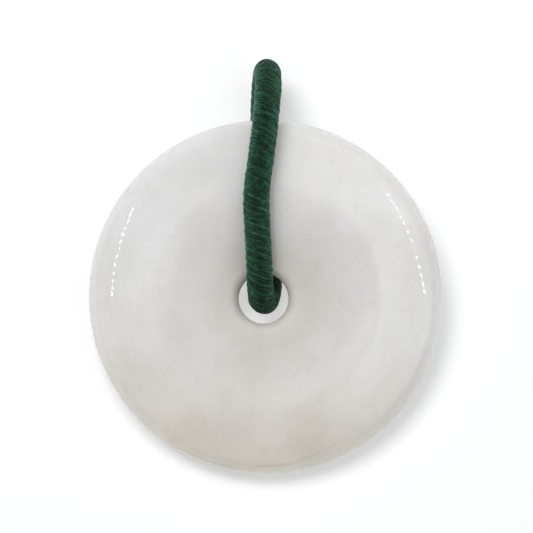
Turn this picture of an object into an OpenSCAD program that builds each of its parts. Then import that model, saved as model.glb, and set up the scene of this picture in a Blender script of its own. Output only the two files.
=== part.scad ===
// Round white jade pendant with a cord bail, lying face up on a surface.
// Origin: on that surface, under the middle of the disc. The cord leaves towards +Y.

/* [Disc] */
// Diameter of the stone
disc_d = 50; // [44:0.5:60]
// Thickness at the crest ring, where the stone is thickest
disc_t = 9; // [8:0.1:11]
// Diameter of the crest ring between the domed band and the funnel
crest_d = 31.8; // [26:0.1:36]
// Slope that the domed band leaves the crest with, as a share of its mean slope
dome_start = 0.5; // [0.3:0.05:0.7]
// Radius of the round outer rim
rim_r = 3; // [2:0.1:3.4]

/* [Hole] */
// Diameter of the hole
bore_d = 7; // [6:0.1:9]
// Thickness of the stone beside the hole's lip
eye_t = 7; // [6:0.1:8]
// Radius of the slow curve from the crest down to the lip
funnel_r = 100; // [80:1:150]
// Radius of the rounded lip
lip_r = 1.7; // [1.2:0.1:2]
// How far the hole sits off the middle along X
bore_dx = -0.3; // [-1:0.05:1]
// How far the hole sits off the middle along Y
bore_dy = -0.25; // [-1:0.05:1]

/* [Cord] */
// Diameter of the thread-wrapped cord
cord_d = 3.8; // [3:0.1:4.2]
// Clearance between the stone and the cord that carries it
cord_gap = 0.35; // [0.2:0.05:0.6]

/* [Hidden] */
$fn = 180;
jade_white = [0.86, 0.86, 0.83];
cord_green = [0.13, 0.27, 0.20];

// Domed band: an arc through the crest that runs smoothly into the rim's arc
crest_r = crest_d / 2;
crest_h = disc_t / 2;
rim_x = disc_d / 2 - rim_r;
dome_run = crest_r - rim_x;
dome_slope = dome_start * atan2(crest_h - rim_r, -dome_run);
dome_r = (pow(dome_run, 2) + pow(crest_h, 2) - pow(rim_r, 2))
    / (2 * (dome_run * sin(dome_slope) + crest_h * cos(dome_slope) - rim_r));
dome_x = crest_r - dome_r * sin(dome_slope);
dome_y = crest_h - dome_r * cos(dome_slope);
dome_top = dome_y + dome_r;
dome_turn = asin((rim_x - dome_x) / (dome_r - rim_r));

// Funnel: an arc through the crest and the point above the lip's middle
lip_x = bore_d / 2 + lip_r;
funnel_run = [crest_r - lip_x, crest_h - eye_t / 2];
funnel_half = norm(funnel_run) / 2;
funnel_back = sqrt(pow(funnel_r, 2) - pow(funnel_half, 2)) / norm(funnel_run);
funnel_x = (crest_r + lip_x) / 2 + funnel_run[1] * funnel_back;
funnel_y = (crest_h + eye_t / 2) / 2 - funnel_run[0] * funnel_back;

// Lip: a quarter turn that the funnel's arc runs smoothly into, down to the hole's wall
funnel_turn = asin((funnel_x - lip_x) / (funnel_r - lip_r));
funnel_crest = asin((crest_r - funnel_x) / funnel_r);
lip_y = funnel_y + (funnel_r - lip_r) * cos(funnel_turn);

// Straight steps that each arc of the outline is drawn with
dome_steps = 12;
rim_steps = 16;
funnel_steps = 10;
lip_steps = 8;

// The disc lies on its band below the hole, and above the hole on the cord under it. It leans
// just so far that each point of its funnel and lip clears the cord.
seat_points = concat(
    arc([funnel_x, funnel_y], funnel_r, funnel_crest, -funnel_turn, funnel_steps),
    arc([lip_x, lip_y], lip_r, -funnel_turn, -90, lip_steps)
);
lean = max([for (p = seat_points) lean_on(p[0] + bore_dy, p[1])]);
disc_z = dome_r + dome_x * sin(lean) + dome_y * cos(lean);

// Lean at which a point of the underside, so far out and so deep, clears the cord: the band
// is a circle, so it rolls on the surface and the point's height follows from its middle
function lean_on(out, depth) =
    let (across = dome_x + out, down = dome_y - depth)
    asin((cord_d + cord_gap - dome_r) / norm([across, down])) - atan2(down, across);

// Line of the cord, a closed loop: up out of the hole, over the face and the rim, round beyond
// the rim, and back under the disc along the surface. Each point's last number is the height
// of the cord's underside, so any cord lies on the surface.
cord_route = [
    [-0.5, -0.5, 6.2], [-0.7, 0.1, 8.7], [-0.8, 1.7, 10.6], [-0.9, 4.1, 11.7],
    [-1.05, 6.8, 12.4], [-1.2, 9.6, 13.0], [-1.3, 12.4, 13.6], [-1.1, 15.2, 14.1],
    [-0.7, 18.0, 14.4], [-0.35, 20.8, 14.4], [-0.05, 23.6, 14.0], [0.2, 26.3, 13.1],
    [0.35, 28.8, 11.6], [0.35, 30.9, 9.5], [0.2, 32.0, 6.9], [0.0, 31.9, 4.2],
    [-0.2, 30.4, 1.9], [-0.35, 27.8, 0.5], [-0.35, 25.0, 0], [-0.2, 22.0, 0],
    [0.0, 19.0, 0], [0.2, 16.0, 0], [0.4, 13.0, 0], [0.5, 10.2, 0],
    [0.6, 7.6, 0], [0.6, 5.2, 0], [0.5, 2.8, 0.5], [0.3, 0.8, 1.9],
    [-0.1, -0.4, 4.0]
];
cord_sides = 8;
// Rings drawn from each point of the route to the next: its bends are tight
cord_steps = 2;

// Middle of the cord on the smooth curve through the route, a share t of the way from point i
// to the next, and never so low that the cord would sink into the surface
function on_route(i, t) =
    let (p = through_points(i, t))
    [p[0], p[1], max(p[2], 0) + cord_d / 2];

function through_points(i, t) =
    let (
        n = len(cord_route),
        a = cord_route[(i + n - 1) % n],
        b = cord_route[i],
        c = cord_route[(i + 1) % n],
        d = cord_route[(i + 2) % n]
    )
    b + t * (c - a) / 2
    + t * t * (2 * a - 5 * b + 4 * c - d) / 2
    + t * t * t * (3 * b - a - 3 * c + d) / 2;

function unit(v) = v / norm(v);

// Ring of points round the middle line at p, square to its direction
function cord_ring(p, direction) =
    let (
        side = unit([1, 0, 0] - direction[0] * direction),
        rise = cross(direction, side)
    )
    [for (k = [0 : cord_sides - 1])
        p + cord_d / 2 * (cos(360 * k / cord_sides) * side + sin(360 * k / cord_sides) * rise)];

// Points of an arc about c, its angles counted from straight up towards +X. The last point
// is left out, because the next stretch of the outline begins there.
function arc(c, r, from, to, steps) =
    [for (i = [0 : steps - 1])
        let (a = from + (to - from) * i / steps)
        c + r * [sin(a), cos(a)]];

// Half of the stone's section without its hole: flat inside the dome's top, band, round rim
module blank_outline() {
    polygon(concat(
        [[0, dome_top]],
        arc([dome_x, dome_y], dome_r, 0, dome_turn, dome_steps),
        arc([rim_x, 0], rim_r, dome_turn, 180 - dome_turn, rim_steps),
        arc([dome_x, -dome_y], dome_r, 180 - dome_turn, 180, dome_steps),
        [[dome_x, -dome_top], [0, -dome_top]]
    ));
}

// What the funnels, the lips and the hole take away, out to the funnel's highest ring
module eye_outline() {
    polygon(concat(
        [[0, disc_t], [funnel_x, disc_t]],
        arc([funnel_x, funnel_y], funnel_r, 0, -funnel_turn, funnel_steps),
        arc([lip_x, lip_y], lip_r, -funnel_turn, -90, lip_steps),
        [[bore_d / 2, lip_y]],
        arc([lip_x, -lip_y], lip_r, -90, funnel_turn - 180, lip_steps),
        arc([funnel_x, -funnel_y], funnel_r, funnel_turn - 180, -180, funnel_steps),
        [[funnel_x, -funnel_y - funnel_r], [funnel_x, -disc_t], [0, -disc_t]]
    ));
}

module jade_disc() {
    color(jade_white)
    translate([0, 0, disc_z])
    rotate([lean, 0, 0])
    difference() {
        rotate_extrude() blank_outline();
        translate([bore_dx, bore_dy, 0]) rotate_extrude() eye_outline();
    }
}

module cord_loop() {
    line = [for (i = [0 : len(cord_route) - 1]) for (j = [0 : cord_steps - 1])
        on_route(i, j / cord_steps)];
    n = len(line);
    s = cord_sides;
    color(cord_green)
    polyhedron(
        points = [for (i = [0 : n - 1])
            each cord_ring(line[i], unit(line[(i + 1) % n] - line[(i + n - 1) % n]))],
        faces = [for (i = [0 : n - 1]) for (k = [0 : s - 1])
            let (
                here = i * s + k,
                beside = i * s + (k + 1) % s,
                next = (i + 1) % n * s + k,
                far = (i + 1) % n * s + (k + 1) % s
            )
            each [[here, beside, far], [here, far, next]]]
    );
}

jade_disc();
cord_loop();
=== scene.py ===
import math

import bpy
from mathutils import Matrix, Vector


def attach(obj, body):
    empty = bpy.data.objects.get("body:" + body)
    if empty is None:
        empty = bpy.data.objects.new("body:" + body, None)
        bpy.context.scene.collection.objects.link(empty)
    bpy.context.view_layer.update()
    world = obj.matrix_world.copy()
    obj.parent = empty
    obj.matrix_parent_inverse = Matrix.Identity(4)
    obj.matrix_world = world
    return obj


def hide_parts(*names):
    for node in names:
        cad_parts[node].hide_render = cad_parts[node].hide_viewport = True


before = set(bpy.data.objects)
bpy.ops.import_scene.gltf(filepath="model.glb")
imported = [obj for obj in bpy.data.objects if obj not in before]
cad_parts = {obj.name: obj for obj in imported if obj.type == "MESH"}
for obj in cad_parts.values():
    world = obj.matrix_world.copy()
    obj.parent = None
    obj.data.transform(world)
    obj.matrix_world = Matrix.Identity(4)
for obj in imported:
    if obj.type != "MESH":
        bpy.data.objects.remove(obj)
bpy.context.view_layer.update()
scene = bpy.context.scene

# The stone's sizes in metres and degrees, down to middleHeight as its CAD solid has them. They
# come first because the camera looks straight at the leaning face
disc = {
    "diameter": 0.050,
    "thickness": 0.009,
    "crestDiameter": 0.0318,
    "domeStart": 0.5,  # share of its mean slope that the domed band leaves the crest with
    "rimRadius": 0.003,
    "boreDiameter": 0.007,
    "eyeThickness": 0.007,
    "funnelRadius": 0.100,
    "lipRadius": 0.0017,
    "boreShift": (-0.0003, -0.00025, 0.0),
    "lean": 8.679718,
    "middleHeight": 0.006864,
    "crestSoftness": 0.00007,  # twice the height that polishing has taken off the crest
    "waviness": 0.00003,  # hand polishing leaves the face a little uneven
    "wavesPerMetre": 110.0,
    "boreSteps": 3,
    "lipSteps": 14,
    "faceSteps": 78,
    "rimSteps": 16,
    "spokes": 256,
    "seamGap": 0.000002,  # points closer than this are made one, which closes the seams
    "seed": 11,
}

photoView = {
    "aim": (0.000106, 0.00430),  # the disc's point that the camera looks at
    "distance": 0.45,
    "lens": 215.0,
    "sensor": 36.0,
    "clip": 0.01,
}


def fromDisc(x, along, height):
    # The place in the scene of a point given in the leaning disc's own directions
    a = math.radians(disc["lean"])
    return Vector((
        x,
        along * math.cos(a) - height * math.sin(a),
        disc["middleHeight"] + along * math.sin(a) + height * math.cos(a),
    ))


# Camera, straight at the disc's face
camData = bpy.data.cameras.new("photoCamera")
camData.sensor_width = photoView["sensor"]
camData.lens = photoView["lens"]
camData.clip_start = photoView["clip"]
camera = bpy.data.objects.new("photoCamera", camData)
scene.collection.objects.link(camera)
camera.location = fromDisc(*photoView["aim"], photoView["distance"])
camera.rotation_euler = (math.radians(disc["lean"]), 0.0, 0.0)
scene.camera = camera
print("stage: camera set")


class Tree:
    # Short way to write a node tree: each call adds one node and links what it is given
    def __init__(self, tree):
        self.tree = tree

    def add(self, kind, *inputs, out=0, settings=None, **named):
        node = self.tree.nodes.new(kind)
        for name, value in (settings or {}).items():
            setattr(node, name, value)
        pairs = list(enumerate(inputs)) + list(named.items())
        for key, value in pairs:
            socket = node.inputs[key.replace("_", " ") if isinstance(key, str) else key]
            self.feed(socket, value)
        return node.outputs[out]

    def feed(self, socket, value):
        if isinstance(value, bpy.types.NodeSocket):
            self.tree.links.new(value, socket)
        elif socket.type == "RGBA" and len(value) == 3:
            socket.default_value = (*value, 1.0)
        else:
            socket.default_value = value

    def maths(self, operation, *inputs):
        return self.add("ShaderNodeMath", *inputs, settings={"operation": operation})

    def vector(self, operation, *inputs, out=0):
        node = self.tree.nodes.new("ShaderNodeVectorMath")
        node.operation = operation
        for i, value in enumerate(inputs):
            socket = node.inputs["Scale"] if operation == "SCALE" and i == 1 else node.inputs[i]
            self.feed(socket, value)
        return node.outputs[out]


def newGeometryTree(name, sizes):
    # sizes: name -> (socket kind, value). Returns the helper, the given sockets, the end socket
    # and the identifiers of the sizes
    tree = bpy.data.node_groups.new(name, "GeometryNodeTree")
    tree.interface.new_socket("Geometry", in_out="INPUT", socket_type="NodeSocketGeometry")
    tree.interface.new_socket("Geometry", in_out="OUTPUT", socket_type="NodeSocketGeometry")
    identifiers = {}
    for label, (kind, _) in sizes.items():
        socket = tree.interface.new_socket(label, in_out="INPUT", socket_type=kind)
        identifiers[label] = socket.identifier
    start = tree.nodes.new("NodeGroupInput")
    end = tree.nodes.new("NodeGroupOutput")
    return Tree(tree), start.outputs, end.inputs[0], identifiers


def grow(name, points, edges, helper, sizes, identifiers):
    # Runs a tree on a line of points and returns the result as a plain mesh object
    line = bpy.data.meshes.new(name + "Line")
    line.from_pydata(points, edges, [])
    seedObject = bpy.data.objects.new(name + "Line", line)
    scene.collection.objects.link(seedObject)
    modifier = seedObject.modifiers.new("grow", "NODES")
    modifier.node_group = helper.tree
    for label, (_, value) in sizes.items():
        modifier[identifiers[label]] = value
    seen = seedObject.evaluated_get(bpy.context.evaluated_depsgraph_get())
    mesh = bpy.data.meshes.new_from_object(seen)
    mesh.name = name
    seedObject.modifiers.clear()
    bpy.data.objects.remove(seedObject)
    bpy.data.meshes.remove(line)
    piece = bpy.data.objects.new(name, mesh)
    scene.collection.objects.link(piece)
    return piece


def newMaterial(name):
    material = bpy.data.materials.new(name)
    material.use_nodes = True
    material.node_tree.nodes.clear()
    helper = Tree(material.node_tree)
    shader = material.node_tree.nodes.new("ShaderNodeBsdfPrincipled")
    output = material.node_tree.nodes.new("ShaderNodeOutputMaterial")
    material.node_tree.links.new(shader.outputs[0], output.inputs[0])
    return material, helper, shader


def ramp(helper, value, stops):
    node = helper.tree.nodes.new("ShaderNodeValToRGB")
    elements = node.color_ramp.elements
    while len(elements) > 1:
        elements.remove(elements[-1])
    for i, (position, colour) in enumerate(stops):
        element = elements[0] if i == 0 else elements.new(position)
        element.position = position
        element.color = (*colour, 1.0)
    helper.feed(node.inputs[0], value)
    return node.outputs[0]


def noiseOf(helper, where, scale, detail, roughness=0.5, distortion=0.0):
    return helper.add("ShaderNodeTexNoise", settings={"noise_dimensions": "3D"}, Vector=where,
                      Scale=scale, Detail=detail, Roughness=roughness, Distortion=distortion)


def smoothRange(helper, value, start, stop, first, last):
    node = helper.tree.nodes.new("ShaderNodeMapRange")
    node.interpolation_type = "SMOOTHSTEP"
    for i, given in enumerate((value, start, stop, first, last)):
        helper.feed(node.inputs[i], given)
    return node.outputs[0]


def mixColours(helper, amount, first, second, blend="MIX"):
    node = helper.tree.nodes.new("ShaderNodeMix")
    node.data_type = "RGBA"
    node.blend_type = blend
    helper.feed(node.inputs[0], amount)
    helper.feed(node.inputs[6], first)
    helper.feed(node.inputs[7], second)
    return node.outputs[2]


def tinted(helper, amount, base, tint):
    # The base where the amount is 0, and the base times the tint where it is 1
    return mixColours(helper, amount, base, mixColours(helper, 1.0, base, tint, "MULTIPLY"))


# The cord's line: up out of the hole, over the face and the rim, round beyond it and back
# under the disc. The last number of a point is the height of the cord's underside
cord = {
    "route": [
        (-0.0005, -0.0005, 0.0062), (-0.0007, 0.0001, 0.0087), (-0.0008, 0.0017, 0.0106),
        (-0.0009, 0.0041, 0.0117), (-0.00105, 0.0068, 0.0124), (-0.0012, 0.0096, 0.0130),
        (-0.0013, 0.0124, 0.0136), (-0.0011, 0.0152, 0.0141), (-0.0007, 0.0180, 0.0144),
        (-0.00035, 0.0208, 0.0144), (-0.00005, 0.0236, 0.0140), (0.0002, 0.0263, 0.0131),
        (0.00035, 0.0288, 0.0116), (0.00035, 0.0309, 0.0095), (0.0002, 0.0320, 0.0069),
        (0.0, 0.0319, 0.0042), (-0.0002, 0.0304, 0.0019), (-0.00035, 0.0278, 0.0005),
        (-0.00035, 0.0250, 0.0), (-0.0002, 0.0220, 0.0), (0.0, 0.0190, 0.0),
        (0.0002, 0.0160, 0.0), (0.0004, 0.0130, 0.0), (0.0005, 0.0102, 0.0),
        (0.0006, 0.0076, 0.0), (0.0006, 0.0052, 0.0), (0.0005, 0.0028, 0.0005),
        (0.0003, 0.0008, 0.0019), (-0.0001, -0.0004, 0.0040),
    ],
    "diameter": 0.0038,
    "stepsPerPoint": 12,
    "turns": -21,  # turns that each thread makes round the cord; minus falls to the right
    "threads": 9,
    "stepsPerTurn": 28,
    "threadRadius": 0.00023,
    "coreRadius": 0.0015,
    "sink": 0.00003,  # step by which the second and the third of each three threads lie deeper
    "slip": 0.0002,  # how far a thread strays along the cord
    "lift": 0.00009,  # how far it strays from the core
    "thickening": 0.28,  # share that its thickness changes by
    # Scale of the noise behind each kind of straying, and its shift from the others
    "noise": {
        "slip": (620.0, 0.0),
        "lift": (420.0, 40.0),
        "thickening": (500.0, 80.0),
        "tone": (900.0, 120.0),
    },
    "ownShift": 3.7,  # shift of the noise from one thread to the next
    "tone": {"middle": 0.42, "secondThread": 0.16, "spread": 0.5},
    "threadSides": 8,
    "coreSides": 16,
    "seed": 5,
}

thread = {
    "fleckRun": 1100.0,  # flecks from one end of a thread to the other
    "fleckToneShift": 3.0,  # how far the tone shifts the flecks
    "fleck": {"scale": 1.0, "detail": 3.0, "roughness": 0.65},
    "flankMiddle": 0.6,  # from here a thread is painted lighter towards the cord's flanks: painted light
    "paintedFlankLight": 0.30,  # how much painted light it gets there
    "tones": [
        (0.0, (0.004, 0.008, 0.006)),
        (0.35, (0.012, 0.028, 0.018)),
        (0.62, (0.024, 0.066, 0.038)),
        (0.90, (0.046, 0.155, 0.088)),
    ],
    # Painted highlight: the lighter green that shining flecks on the flanks are painted with
    "paintedShineColour": (0.065, 0.31, 0.19),
    "shineNoise": {"scale": 1.6, "detail": 2.0, "roughness": 0.55},
    "shineRange": (0.52, 0.70, 0.0, 0.8),
    "paintedShineOnFlank": (0.15, 0.75, 0.25, 1.0),
    "metallicShare": 0.9,
    "roughness": 0.34,
    "specular": 0.09,
    "sheen": 0.30,
    "sheenRoughness": 0.35,
    "sheenTint": (0.05, 0.58, 0.30),
    "fibres": 4,
    "fibreTwist": 9000.0,
    "fibreGain": 0.5,
    "fibreNoise": {"scale": 6000.0, "detail": 2.0},
    "bumpStrength": 0.35,
    "bumpDepth": 0.00006,
}


def cordLine():
    # Middle of the cord on a closed smooth curve through the route, never sunk in the surface
    route = [Vector(p) for p in cord["route"]]
    count = len(route)
    steps = cord["stepsPerPoint"]
    radius = cord["diameter"] / 2
    line = []
    for i in range(count):
        a, b, c, d = (route[(i + k) % count] for k in (-1, 0, 1, 2))
        for j in range(steps):
            t = j / steps
            p = (b + (c - a) * (t / 2) + (2 * a - 5 * b + 4 * c - d) * (t * t / 2)
                 + (3 * b - a - 3 * c + d) * (t ** 3 / 2))
            line.append(Vector((p.x, p.y, max(p.z, 0.0) + radius)))
    return line


def woundCordTree():
    sizes = {
        "Turns": ("NodeSocketFloat", float(cord["turns"])),
        "Threads": ("NodeSocketInt", cord["threads"]),
        "Steps": ("NodeSocketInt", abs(cord["turns"]) * cord["stepsPerTurn"]),
        "Cord Radius": ("NodeSocketFloat", cord["diameter"] / 2),
        "Thread Radius": ("NodeSocketFloat", cord["threadRadius"]),
        "Core Radius": ("NodeSocketFloat", cord["coreRadius"]),
        "Sink": ("NodeSocketFloat", cord["sink"]),
        "Slip": ("NodeSocketFloat", cord["slip"]),
        "Lift": ("NodeSocketFloat", cord["lift"]),
        "Thickening": ("NodeSocketFloat", cord["thickening"]),
        "Seed": ("NodeSocketFloat", float(cord["seed"])),
        "Material": ("NodeSocketMaterial", cordMaterial),
    }
    t, given, end, identifiers = newGeometryTree("woundCord", sizes)
    path = t.add("GeometryNodeMeshToCurve", given["Geometry"])

    # One thread as a line of points, then all of them side by side
    row = t.add("GeometryNodeMeshLine", Count=given["Steps"])
    strand = t.add("GeometryNodeMeshToCurve", row)
    strand = t.add("GeometryNodeSetSplineCyclic", strand, Cyclic=True)
    copies = t.tree.nodes.new("GeometryNodeDuplicateElements")
    copies.domain = "SPLINE"
    t.feed(copies.inputs["Geometry"], strand)
    t.feed(copies.inputs["Amount"], given["Threads"])
    which = copies.outputs["Duplicate Index"]

    # Where each point is along the cord, and the cord's own directions there
    step = t.add("GeometryNodeSplineParameter", out=2)
    along = t.maths("DIVIDE", step, given["Steps"])
    sample = t.tree.nodes.new("GeometryNodeSampleCurve")
    sample.mode = "FACTOR"
    sample.use_all_curves = True
    t.feed(sample.inputs["Curves"], path)
    t.feed(sample.inputs["Factor"], along)
    middle, ahead = sample.outputs["Position"], sample.outputs["Tangent"]
    across = t.add("ShaderNodeSeparateXYZ", ahead, out=0)
    side = t.vector("SUBTRACT", (1.0, 0.0, 0.0), t.vector("SCALE", ahead, across))
    side = t.vector("NORMALIZE", side)
    rise = t.vector("CROSS_PRODUCT", ahead, side)

    share = t.maths("DIVIDE", which, given["Threads"])
    turn = t.maths("ADD", t.maths("MULTIPLY", along, given["Turns"]), share)
    turn = t.maths("MULTIPLY", turn, math.tau)
    outward = t.vector("ADD", t.vector("SCALE", side, t.maths("COSINE", turn)),
                       t.vector("SCALE", rise, t.maths("SINE", turn)))
    reach = t.maths("SUBTRACT", given["Cord Radius"], given["Thread Radius"])
    sunk = t.maths("MULTIPLY", t.maths("MODULO", which, 3.0), given["Sink"])
    reach = t.maths("SUBTRACT", reach, sunk)
    neat = t.vector("ADD", middle, t.vector("SCALE", outward, reach))

    # Each thread strays by itself
    own = t.maths("ADD", t.maths("MULTIPLY", which, cord["ownShift"]), given["Seed"])

    def stray(kind):
        scale, shift = cord["noise"][kind]
        value = t.add("ShaderNodeTexNoise", settings={"noise_dimensions": "4D"}, Vector=neat,
                      W=t.maths("ADD", own, shift), Scale=scale, Detail=1.0)
        return t.maths("MULTIPLY", t.maths("SUBTRACT", value, 0.5), 2.0)

    slipped = t.vector("SCALE", ahead, t.maths("MULTIPLY", stray("slip"), given["Slip"]))
    lifted = t.vector("SCALE", outward, t.maths("MULTIPLY", stray("lift"), given["Lift"]))
    place = t.vector("ADD", neat, t.vector("ADD", slipped, lifted))
    wound = t.add("GeometryNodeSetPosition", copies.outputs["Geometry"], Position=place)
    swell = t.maths("ADD", 1.0, t.maths("MULTIPLY", stray("thickening"), given["Thickening"]))
    swollen = t.maths("MULTIPLY", swell, given["Thread Radius"])
    wound = t.add("GeometryNodeSetCurveRadius", wound, Radius=swollen)

    # What the material reads: each thread's own tone, and the way along it
    def stored(curves, name, value):
        return t.add("GeometryNodeStoreNamedAttribute", curves, Name=name, Value=value,
                     settings={"data_type": "FLOAT", "domain": "POINT"})

    shades = cord["tone"]
    alternate = t.maths("MULTIPLY", t.maths("MODULO", which, 2.0), shades["secondThread"])
    tone = t.maths("ADD", t.maths("MULTIPLY", stray("tone"), shades["spread"]),
                   t.maths("ADD", shades["middle"], alternate))
    wound = stored(wound, "threadTone", tone)
    # How far round to a flank a thread is, which the material paints lighter
    wound = stored(wound, "threadFlank", t.maths("ABSOLUTE", t.maths("COSINE", turn)))
    wound = stored(wound, "threadRun", t.add("GeometryNodeSplineParameter", out=1))
    ring = t.add("GeometryNodeCurvePrimitiveCircle", Resolution=cord["threadSides"], Radius=1.0)
    ring = stored(ring, "threadAround", t.add("GeometryNodeSplineParameter", out=2))
    threads = t.add("GeometryNodeCurveToMesh", wound, ring, Scale=t.add("GeometryNodeInputRadius"))

    core = t.add("GeometryNodeCurvePrimitiveCircle", Resolution=cord["coreSides"],
                 Radius=given["Core Radius"])
    core = t.add("GeometryNodeCurveToMesh", path, core)

    both = t.tree.nodes.new("GeometryNodeJoinGeometry")
    t.tree.links.new(core, both.inputs[0])
    t.tree.links.new(threads, both.inputs[0])
    smooth = t.add("GeometryNodeSetShadeSmooth", both.outputs[0])
    real = t.add("GeometryNodeRealizeInstances", smooth)
    t.feed(end, t.add("GeometryNodeSetMaterial", real, Material=given["Material"]))
    return t, sizes, identifiers


def makeCordMaterial():
    # Silky green thread; on the cord's two flanks a painted highlight makes it lighter, and it is
    # glossier there
    material, t, shader = newMaterial("greenThread")
    tone = t.add("ShaderNodeAttribute", settings={"attribute_name": "threadTone"}, out=2)
    run = t.add("ShaderNodeAttribute", settings={"attribute_name": "threadRun"}, out=2)
    around = t.add("ShaderNodeAttribute", settings={"attribute_name": "threadAround"}, out=2)
    flank = t.add("ShaderNodeAttribute", settings={"attribute_name": "threadFlank"}, out=2)
    where = t.add("ShaderNodeTexCoord", out=3)
    # The flecks follow a thread: along it, round it, and by its tone
    onThread = t.add("ShaderNodeCombineXYZ", t.maths("MULTIPLY", run, thread["fleckRun"]), around,
                     t.maths("MULTIPLY", tone, thread["fleckToneShift"]))
    fleck = noiseOf(t, onThread, **thread["fleck"])
    level = t.maths("ADD", tone, t.maths("SUBTRACT", fleck, 0.5))
    # Painted light: a thread is lighter towards the cord's flanks
    onFlank = t.maths("SUBTRACT", flank, thread["flankMiddle"])
    level = t.maths("ADD", level, t.maths("MULTIPLY", onFlank, thread["paintedFlankLight"]))
    base = ramp(t, level, thread["tones"])
    # Flecks of silky fibre on the flanks: a painted highlight of lighter green in the base colour, and
    # metallic gloss
    glossAndPaintedShine = smoothRange(t, noiseOf(t, onThread, **thread["shineNoise"]), *thread["shineRange"])
    glossAndPaintedShine = t.maths("MULTIPLY", glossAndPaintedShine, smoothRange(t, flank, *thread["paintedShineOnFlank"]))
    base = mixColours(t, glossAndPaintedShine, base, thread["paintedShineColour"])
    t.feed(shader.inputs["Base Color"], base)
    t.feed(shader.inputs["Metallic"], t.maths("MULTIPLY", glossAndPaintedShine, thread["metallicShare"]))
    shader.inputs["Roughness"].default_value = thread["roughness"]
    shader.inputs["Specular IOR Level"].default_value = thread["specular"]
    shader.inputs["Sheen Weight"].default_value = thread["sheen"]
    shader.inputs["Sheen Roughness"].default_value = thread["sheenRoughness"]
    shader.inputs["Sheen Tint"].default_value = (*thread["sheenTint"], 1.0)
    # The thread's own fibres, twisted
    roundTurn = math.tau / cord["threadSides"] * thread["fibres"]
    twist = t.maths("ADD", t.maths("MULTIPLY", run, thread["fibreTwist"]),
                    t.maths("MULTIPLY", around, roundTurn))
    fibre = t.maths("SINE", twist)
    rough = noiseOf(t, where, **thread["fibreNoise"])
    height = t.maths("ADD", t.maths("MULTIPLY", fibre, thread["fibreGain"]), rough)
    bump = t.add("ShaderNodeBump", Strength=thread["bumpStrength"],
                 Distance=thread["bumpDepth"], Height=height)
    t.feed(shader.inputs["Normal"], bump)
    return material


cordMaterial = makeCordMaterial()
line = cordLine()
pointCount = len(line)
loopEdges = [(i, (i + 1) % pointCount) for i in range(pointCount)]
woundCord = grow("woundCord", line, loopEdges, *woundCordTree())
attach(woundCord, "root")
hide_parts("cord_loop")
path = [tuple(p) for p in line + line[:1]]
cordLength = sum(math.dist(a, b) for a, b in zip(path, path[1:]))
print(f"stage: cord wound, {cordLength * 1000:.1f} mm long, {len(woundCord.data.polygons)} faces")


def section():
    # Half of the stone's section as a closed line of (distance from the axis, height)
    crest, top = disc["crestDiameter"] / 2, disc["thickness"] / 2
    rimR, lipR, funnelR = disc["rimRadius"], disc["lipRadius"], disc["funnelRadius"]
    rimX = disc["diameter"] / 2 - rimR
    run = crest - rimX
    slope = disc["domeStart"] * math.atan2(top - rimR, -run)
    domeR = ((run ** 2 + top ** 2 - rimR ** 2)
             / (2 * (run * math.sin(slope) + top * math.cos(slope) - rimR)))
    domeX, domeY = crest - domeR * math.sin(slope), top - domeR * math.cos(slope)
    domeTurn = math.asin((rimX - domeX) / (domeR - rimR))
    lipX = disc["boreDiameter"] / 2 + lipR
    fall = Vector((crest - lipX, top - disc["eyeThickness"] / 2))
    back = math.sqrt(funnelR ** 2 - (fall.length / 2) ** 2) / fall.length
    funnelX = (crest + lipX) / 2 + fall.y * back
    funnelY = (top + disc["eyeThickness"] / 2) / 2 - fall.x * back
    funnelTurn = math.asin((funnelX - lipX) / (funnelR - lipR))
    lipY = funnelY + (funnelR - lipR) * math.cos(funnelTurn)

    def arc(x, y, r, start, stop, steps):
        angles = [start + (stop - start) * i / steps for i in range(steps)]
        return [(x + r * math.sin(a), y + r * math.cos(a)) for a in angles]

    def face(distance):
        # The band and the funnel meet in a crest that polishing has rounded
        dome = domeY + math.sqrt(domeR ** 2 - (distance - domeX) ** 2)
        funnel = funnelY + math.sqrt(funnelR ** 2 - (distance - funnelX) ** 2)
        k = disc["crestSoftness"] * 2.0
        blend = max(k - abs(dome - funnel), 0.0) / k
        return min(dome, funnel) - blend * blend * k / 4

    quarter = math.pi / 2
    boreSteps, faceSteps = disc["boreSteps"], disc["faceSteps"]
    upper = [(disc["boreDiameter"] / 2, lipY * i / boreSteps) for i in range(boreSteps)]
    upper += arc(lipX, lipY, lipR, -quarter, -funnelTurn, disc["lipSteps"])
    inner = lipX - lipR * math.sin(funnelTurn)
    outer = rimX + rimR * math.sin(domeTurn)
    reaches = [inner + (outer - inner) * i / faceSteps for i in range(faceSteps)]
    upper += [(reach, face(reach)) for reach in reaches]
    upper += arc(rimX, 0.0, rimR, domeTurn, quarter, disc["rimSteps"])
    upper += [(disc["diameter"] / 2, 0.0)]
    lower = [(x, -y) for x, y in reversed(upper[1:-1])]
    return upper + lower


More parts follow.
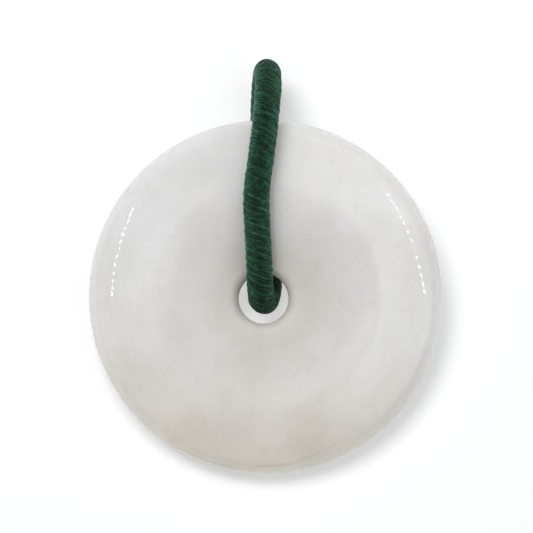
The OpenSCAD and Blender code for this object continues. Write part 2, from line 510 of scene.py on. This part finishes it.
def turnedDiscTree(count):
    sizes = {
        "Section Points": ("NodeSocketInt", count),
        "Spokes": ("NodeSocketInt", disc["spokes"]),
        "Bore Shift": ("NodeSocketVector", disc["boreShift"]),
        "Eye Radius": ("NodeSocketFloat", disc["boreDiameter"] / 2 + disc["lipRadius"]),
        "Crest Radius": ("NodeSocketFloat", disc["crestDiameter"] / 2),
        "Waviness": ("NodeSocketFloat", disc["waviness"]),
        "Seed": ("NodeSocketFloat", float(disc["seed"])),
        "Lean": ("NodeSocketFloat", math.radians(disc["lean"])),
        "Middle Height": ("NodeSocketFloat", disc["middleHeight"]),
        "Material": ("NodeSocketMaterial", jadeMaterial),
    }
    t, given, end, identifiers = newGeometryTree("turnedDisc", sizes)
    rows = t.maths("ADD", given["Section Points"], 1.0)
    columns = t.maths("ADD", given["Spokes"], 1.0)
    grid = t.add("GeometryNodeMeshGrid", Vertices_X=rows, Vertices_Y=columns)
    index = t.add("GeometryNodeInputIndex")
    row = t.maths("FLOOR", t.maths("DIVIDE", t.maths("ADD", index, 0.5), columns))
    column = t.maths("SUBTRACT", index, t.maths("MULTIPLY", row, columns))
    wrapped = t.maths("MODULO", row, given["Section Points"])
    where = t.add("GeometryNodeInputPosition")
    sample = t.tree.nodes.new("GeometryNodeSampleIndex")
    sample.data_type = "FLOAT_VECTOR"
    t.feed(sample.inputs["Geometry"], given["Geometry"])
    t.feed(sample.inputs["Value"], where)
    t.feed(sample.inputs["Index"], wrapped)
    split = t.tree.nodes.new("ShaderNodeSeparateXYZ")
    t.feed(split.inputs[0], sample.outputs[0])
    distance, height = split.outputs[0], split.outputs[1]
    turn = t.maths("MULTIPLY", t.maths("DIVIDE", column, given["Spokes"]), math.tau)
    x = t.maths("MULTIPLY", distance, t.maths("COSINE", turn))
    y = t.maths("MULTIPLY", distance, t.maths("SINE", turn))
    neat = t.add("ShaderNodeCombineXYZ", x, y, height)
    # The hole sits a little off the middle, and the funnel takes that up
    ease = smoothRange(t, distance, given["Eye Radius"], given["Crest Radius"], 1.0, 0.0)
    shifted = t.vector("ADD", neat, t.vector("SCALE", given["Bore Shift"], ease))
    wave = t.add("ShaderNodeTexNoise", settings={"noise_dimensions": "4D"}, Vector=shifted,
                 W=given["Seed"], Scale=disc["wavesPerMetre"], Detail=1.0)
    wave = t.maths("MULTIPLY", t.maths("SUBTRACT", wave, 0.5),
                   t.maths("MULTIPLY", given["Waviness"], 2.0))
    # Up on the upper face and down on the lower one, and none at the rim's and the hole's edge
    share = t.maths("MULTIPLY", t.maths("DIVIDE", height, disc["thickness"] / 2), wave)
    offset = t.add("ShaderNodeCombineXYZ", 0.0, 0.0, share)
    shaped = t.add("GeometryNodeSetPosition", grid, Position=t.vector("ADD", shifted, offset))
    shaped = t.add("GeometryNodeMergeByDistance", shaped, Distance=disc["seamGap"])
    tilt = t.add("ShaderNodeCombineXYZ", given["Lean"], 0.0, 0.0)
    raised = t.add("ShaderNodeCombineXYZ", 0.0, 0.0, given["Middle Height"])
    leaned = t.add("GeometryNodeTransform", shaped, Translation=raised, Rotation=tilt)
    smooth = t.add("GeometryNodeSetShadeSmooth", leaned)
    real = t.add("GeometryNodeRealizeInstances", smooth)
    t.feed(end, t.add("GeometryNodeSetMaterial", real, Material=given["Material"]))
    return t, sizes, identifiers


jade = {
    "clouds": {"scale": 55.0, "detail": 2.0, "roughness": 0.5, "distortion": 0.4},
    "cloudTints": [(0.30, (0.735, 0.722, 0.709)), (0.70, (0.785, 0.777, 0.770))],
    "wisps": {"scale": 190.0, "detail": 3.0, "roughness": 0.6, "distortion": 0.8},
    "wispTints": [(0.30, (0.955, 0.95, 0.942)), (0.58, (1.0, 1.0, 1.0))],
    "grain": {"scale": 1400.0, "detail": 2.0, "roughness": 0.6},
    "grainTints": [(0.30, (0.97, 0.97, 0.97)), (0.70, (1.0, 1.0, 1.0))],
    # Warmer stone round the hole, darkened there by painted shade of the hole and the cord; painted
    # light on the hole's lip and a painted glow just inside the rim, by the share of the radius
    "ringTintsAndPaintedLight": [
        (0.14, (0.96, 0.92, 0.87)),
        (0.20, (0.87, 0.84, 0.795)),
        (0.27, (0.86, 0.84, 0.805)),
        (0.40, (0.93, 0.92, 0.905)),
        (0.58, (1.0, 1.0, 1.0)),
        (0.92, (1.0, 1.0, 1.0)),
        (0.965, (1.05, 1.05, 1.05)),
    ],
    # Warmer, darker stone towards the near edge, from one place along the face to another: partly the
    # stone's own warmth, partly painted shade of the side turned from the light
    "near": {"reach": (-0.004, -0.023), "tint": (0.950, 0.920, 0.865)},
    # Greyer, cooler painted shade towards the far left, where the key light falls
    "farLeft": {"way": (-0.75, 0.66, 0.0), "reach": (0.010, 0.023), "tint": (0.920, 0.928, 0.945)},
    # Stained spots on the face: middle, radius and tint
    "stains": [
        ((-0.0114, -0.0187), 0.0042, (0.955, 0.940, 0.915)),
        ((0.0056, -0.0197), 0.0036, (0.945, 0.930, 0.905)),
        ((-0.0205, -0.0100), 0.0034, (0.965, 0.972, 0.940)),
    ],
    "stainEdge": (0.2, 1.3),  # shares of its radius between which a spot fades out
    # A fine darker, browner line near the rim: part of a ring
    "rimLine": {
        "middle": (-0.0019, -0.0015),
        "radius": 0.0224,
        "width": 0.0003,
        "stray": 0.0003,
        "reach": (-0.0185, -0.0215),
        "tint": (0.955, 0.925, 0.885),
    },
    "fray": {"scale": 300.0, "detail": 3.0, "roughness": 0.6, "distortion": 0.5},
    "roughness": 0.03,
    "ior": 1.64,
    "scatterRadius": (1.0, 0.92, 0.80),
    "scatterScale": 0.007,
    "bumpStrength": 0.05,
    "bumpDepth": 0.0001,
}


def makeJadeMaterial():
    material, t, shader = newMaterial("whiteJade")
    where = t.add("ShaderNodeTexCoord", out=3)
    # The pattern follows the leaning disc: its middle is the pattern's middle
    node = t.tree.nodes.new("ShaderNodeMapping")
    node.vector_type = "TEXTURE"
    node.inputs["Location"].default_value = (0.0, 0.0, disc["middleHeight"])
    node.inputs["Rotation"].default_value = (math.radians(disc["lean"]), 0.0, 0.0)
    t.feed(node.inputs["Vector"], where)
    inDisc = node.outputs[0]
    flat = t.vector("MULTIPLY", inDisc, (1.0, 1.0, 0.0))
    alongFace = t.add("ShaderNodeSeparateXYZ", inDisc, out=1)
    fromMiddle = t.vector("LENGTH", flat, out=1)

    wisps = noiseOf(t, inDisc, **jade["wisps"])
    base = ramp(t, noiseOf(t, inDisc, **jade["clouds"]), jade["cloudTints"])
    base = mixColours(t, 1.0, base, ramp(t, wisps, jade["wispTints"]), "MULTIPLY")
    grain = ramp(t, noiseOf(t, inDisc, **jade["grain"]), jade["grainTints"])
    base = mixColours(t, 1.0, base, grain, "MULTIPLY")
    rings = ramp(t, t.maths("DIVIDE", fromMiddle, disc["diameter"] / 2), jade["ringTintsAndPaintedLight"])
    base = mixColours(t, 1.0, base, rings, "MULTIPLY")
    near, farLeft = jade["near"], jade["farLeft"]
    base = tinted(t, smoothRange(t, alongFace, *near["reach"], 0.0, 1.0), base, near["tint"])
    towards = t.vector("DOT_PRODUCT", inDisc, farLeft["way"], out=1)
    base = tinted(t, smoothRange(t, towards, *farLeft["reach"], 0.0, 1.0), base, farLeft["tint"])

    def fromPoint(middle):
        return t.vector("LENGTH", t.vector("SUBTRACT", flat, (*middle, 0.0)), out=1)

    # Noise frays the outlines of the stains and the line
    fray = t.maths("SUBTRACT", noiseOf(t, inDisc, **jade["fray"]), 0.5)
    fray = t.maths("MULTIPLY", fray, 2.0)
    for middle, radius, tint in jade["stains"]:
        away = t.maths("ADD", t.maths("DIVIDE", fromPoint(middle), radius), fray)
        base = tinted(t, smoothRange(t, away, *jade["stainEdge"], 1.0, 0.0), base, tint)
    rimLine = jade["rimLine"]
    rimLineRadius = t.maths("ADD", rimLine["radius"], t.maths("MULTIPLY", fray, rimLine["stray"]))
    away = t.maths("ABSOLUTE", t.maths("SUBTRACT", fromPoint(rimLine["middle"]), rimLineRadius))
    inside = t.maths("MULTIPLY", smoothRange(t, away, 0.0, rimLine["width"], 1.0, 0.0),
                     smoothRange(t, alongFace, *rimLine["reach"], 0.0, 1.0))
    base = tinted(t, inside, base, rimLine["tint"])

    t.feed(shader.inputs["Base Color"], base)
    shader.inputs["Roughness"].default_value = jade["roughness"]
    shader.inputs["IOR"].default_value = jade["ior"]
    shader.inputs["Subsurface Weight"].default_value = 1.0
    shader.inputs["Subsurface Radius"].default_value = jade["scatterRadius"]
    shader.inputs["Subsurface Scale"].default_value = jade["scatterScale"]
    bump = t.add("ShaderNodeBump", Strength=jade["bumpStrength"],
                 Distance=jade["bumpDepth"], Height=wisps)
    t.feed(shader.inputs["Normal"], bump)
    return material


jadeMaterial = makeJadeMaterial()
outline = section()
outlineCount = len(outline)
outlineEdges = [(i, (i + 1) % outlineCount) for i in range(outlineCount)]
jadeDisc = grow("jadeDisc", [(x, y, 0.0) for x, y in outline], outlineEdges,
                *turnedDiscTree(outlineCount))
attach(jadeDisc, "root")
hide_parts("jade_disc")
print(f"stage: disc turned, {outlineCount} section points, {len(jadeDisc.data.polygons)} faces")


# The light tent. A place is given by the way to it from the disc's middle: how far it leans to
# the right and along the face, from 0 straight over the face to 1 at the floor
tent = {
    "roof": {"strength": 0.12, "colour": (1.0, 0.97, 0.93)},
    "panels": {
        "far": {"middle": (0.0, 0.44), "spread": (0.70, 0.40),
                "strength": 0.37, "colour": (0.88, 0.96, 1.0)},
        "left": {"middle": (-0.45, -0.05), "spread": (0.34, 0.50),
                 "strength": 0.34, "colour": (0.88, 0.96, 1.0)},
        "right": {"middle": (0.48, -0.05), "spread": (0.34, 0.50),
                  "strength": 0.86, "colour": (0.90, 0.97, 1.0)},
        "near": {"middle": (0.0, -0.50), "spread": (0.60, 0.26),
                 "strength": 0.10, "colour": (1.0, 0.9, 0.8)},
    },
    # The dark camera over the face
    "camera": {"middle": (0.05, -0.09), "spread": (0.12, 0.17), "darkness": 0.8},
    "softEdge": (0.7, 1.3),  # shares of its spread between which a panel fades out
}

lighting = {
    "floorHalf": 1.5,
    "floorRoughness": 0.8,
    "floorGlow": 0.358,
    "paintedGlowUnderHole": 0.12,  # a pool of light painted on the floor under the hole, for the light that the stone round the hole lets down there
    "paintedGlowReach": (0.004, 0.008),  # distances from the middle between which it fades out
    "floorColour": (0.63, 0.63, 0.63),
    "softBoxes": {
        "key": {"place": (-0.13, 0.17, 0.61), "size": 0.26, "watts": 2.8, "colour": (1.0, 0.99, 0.99)},
    },
    "stripHeight": 0.42,
    "strips": {
        "stripLeft": {"start": (-0.739, 0.474), "stop": (-0.800, 0.0), "lamps": 13,
                      "radius": 0.0023, "watts": 0.010},
        "stripRight": {"start": (0.647, 0.654), "stop": (0.864, 0.011), "lamps": 15,
                       "radius": 0.0027, "watts": 0.013},
    },
}

# Floor: a white card under the whole view
edge = lighting["floorHalf"]
floorCorners = [(-edge, -edge, 0.0), (edge, -edge, 0.0), (edge, edge, 0.0), (-edge, edge, 0.0)]
floorMesh = bpy.data.meshes.new("floor")
floorMesh.from_pydata(floorCorners, [], [(0, 1, 2, 3)])
floor = bpy.data.objects.new("floor", floorMesh)
scene.collection.objects.link(floor)
floorMaterial, t, shader = newMaterial("whiteCard")
shader.inputs["Base Color"].default_value = (*lighting["floorColour"], 1.0)
shader.inputs["Roughness"].default_value = lighting["floorRoughness"]
shader.inputs["Emission Color"].default_value = (1.0, 1.0, 1.0, 1.0)
# Painted light: a pool of light painted on the floor under the hole, on top of its even glow
fromOrigin = t.vector("LENGTH", t.add("ShaderNodeTexCoord", out=3), out=1)
through = smoothRange(t, fromOrigin, *lighting["paintedGlowReach"], lighting["paintedGlowUnderHole"], 0.0)
t.feed(shader.inputs["Emission Strength"], t.maths("ADD", through, lighting["floorGlow"]))
floorMesh.materials.append(floorMaterial)


def makeTent():
    # The tent's light by the direction it comes from, in the leaning disc's own directions
    world = bpy.data.worlds.new("lightTent")
    scene.world = world
    world.use_nodes = True
    background = world.node_tree.nodes["Background"]
    t = Tree(world.node_tree)
    towards = t.add("ShaderNodeTexCoord", out=0)
    a = math.radians(disc["lean"])
    right, along = Vector((1.0, 0.0, 0.0)), Vector((0.0, math.cos(a), math.sin(a)))

    def patch(middle, spread):
        # 1 inside an oval patch of the tent, 0 outside it
        squares = []
        for axis, centre, half in zip((right, along), middle, spread):
            off = t.maths("SUBTRACT", t.vector("DOT_PRODUCT", towards, tuple(axis), out=1), centre)
            off = t.maths("DIVIDE", off, half)
            squares.append(t.maths("MULTIPLY", off, off))
        away = t.maths("SQRT", t.maths("ADD", *squares))
        return smoothRange(t, away, *tent["softEdge"], 1.0, 0.0)

    roof, camera = tent["roof"], tent["camera"]
    light = tuple(roof["strength"] * c for c in roof["colour"])
    for panel in tent["panels"].values():
        colour = tuple(panel["strength"] * c for c in panel["colour"])
        inPanel = patch(panel["middle"], panel["spread"])
        light = t.vector("ADD", light, t.vector("SCALE", colour, inPanel))
    lost = t.maths("MULTIPLY", patch(camera["middle"], camera["spread"]), camera["darkness"])
    kept = t.maths("SUBTRACT", 1.0, lost)
    t.feed(background.inputs["Color"], t.vector("SCALE", light, kept))
    background.inputs["Strength"].default_value = 1.0


makeTent()


def softBox(name, place, size, watts, colour):
    data = bpy.data.lights.new(name, "AREA")
    data.shape = "SQUARE"
    data.size = size
    data.energy = watts
    data.color = colour
    lamp = bpy.data.objects.new(name, data)
    lamp.location = place
    lamp.rotation_mode = "QUATERNION"
    lamp.rotation_quaternion = Vector(place).to_track_quat("Z", "Y")
    lamp.visible_glossy = False  # a flagged light: no hard window on the polish
    scene.collection.objects.link(lamp)


for name, values in lighting["softBoxes"].items():
    softBox(name, **values)

# Two rows of small lamps, whose images are the dotted streaks on the polished band
high = lighting["stripHeight"]
for name, strip in lighting["strips"].items():
    start, stop = strip["start"], strip["stop"]
    for i in range(strip["lamps"]):
        share = i / (strip["lamps"] - 1)
        data = bpy.data.lights.new(f"{name}{i}", "POINT")
        data.energy = strip["watts"]
        data.shadow_soft_size = strip["radius"]
        lamp = bpy.data.objects.new(f"{name}{i}", data)
        x = start[0] + (stop[0] - start[0]) * share
        y = start[1] + (stop[1] - start[1]) * share
        lamp.location = fromDisc(x * high, y * high, high)
        lamp.visible_diffuse = False  # they glint on the polish and hardly light anything
        scene.collection.objects.link(lamp)

scene.view_settings.view_transform = "Standard"
print("stage: floor and lights set")
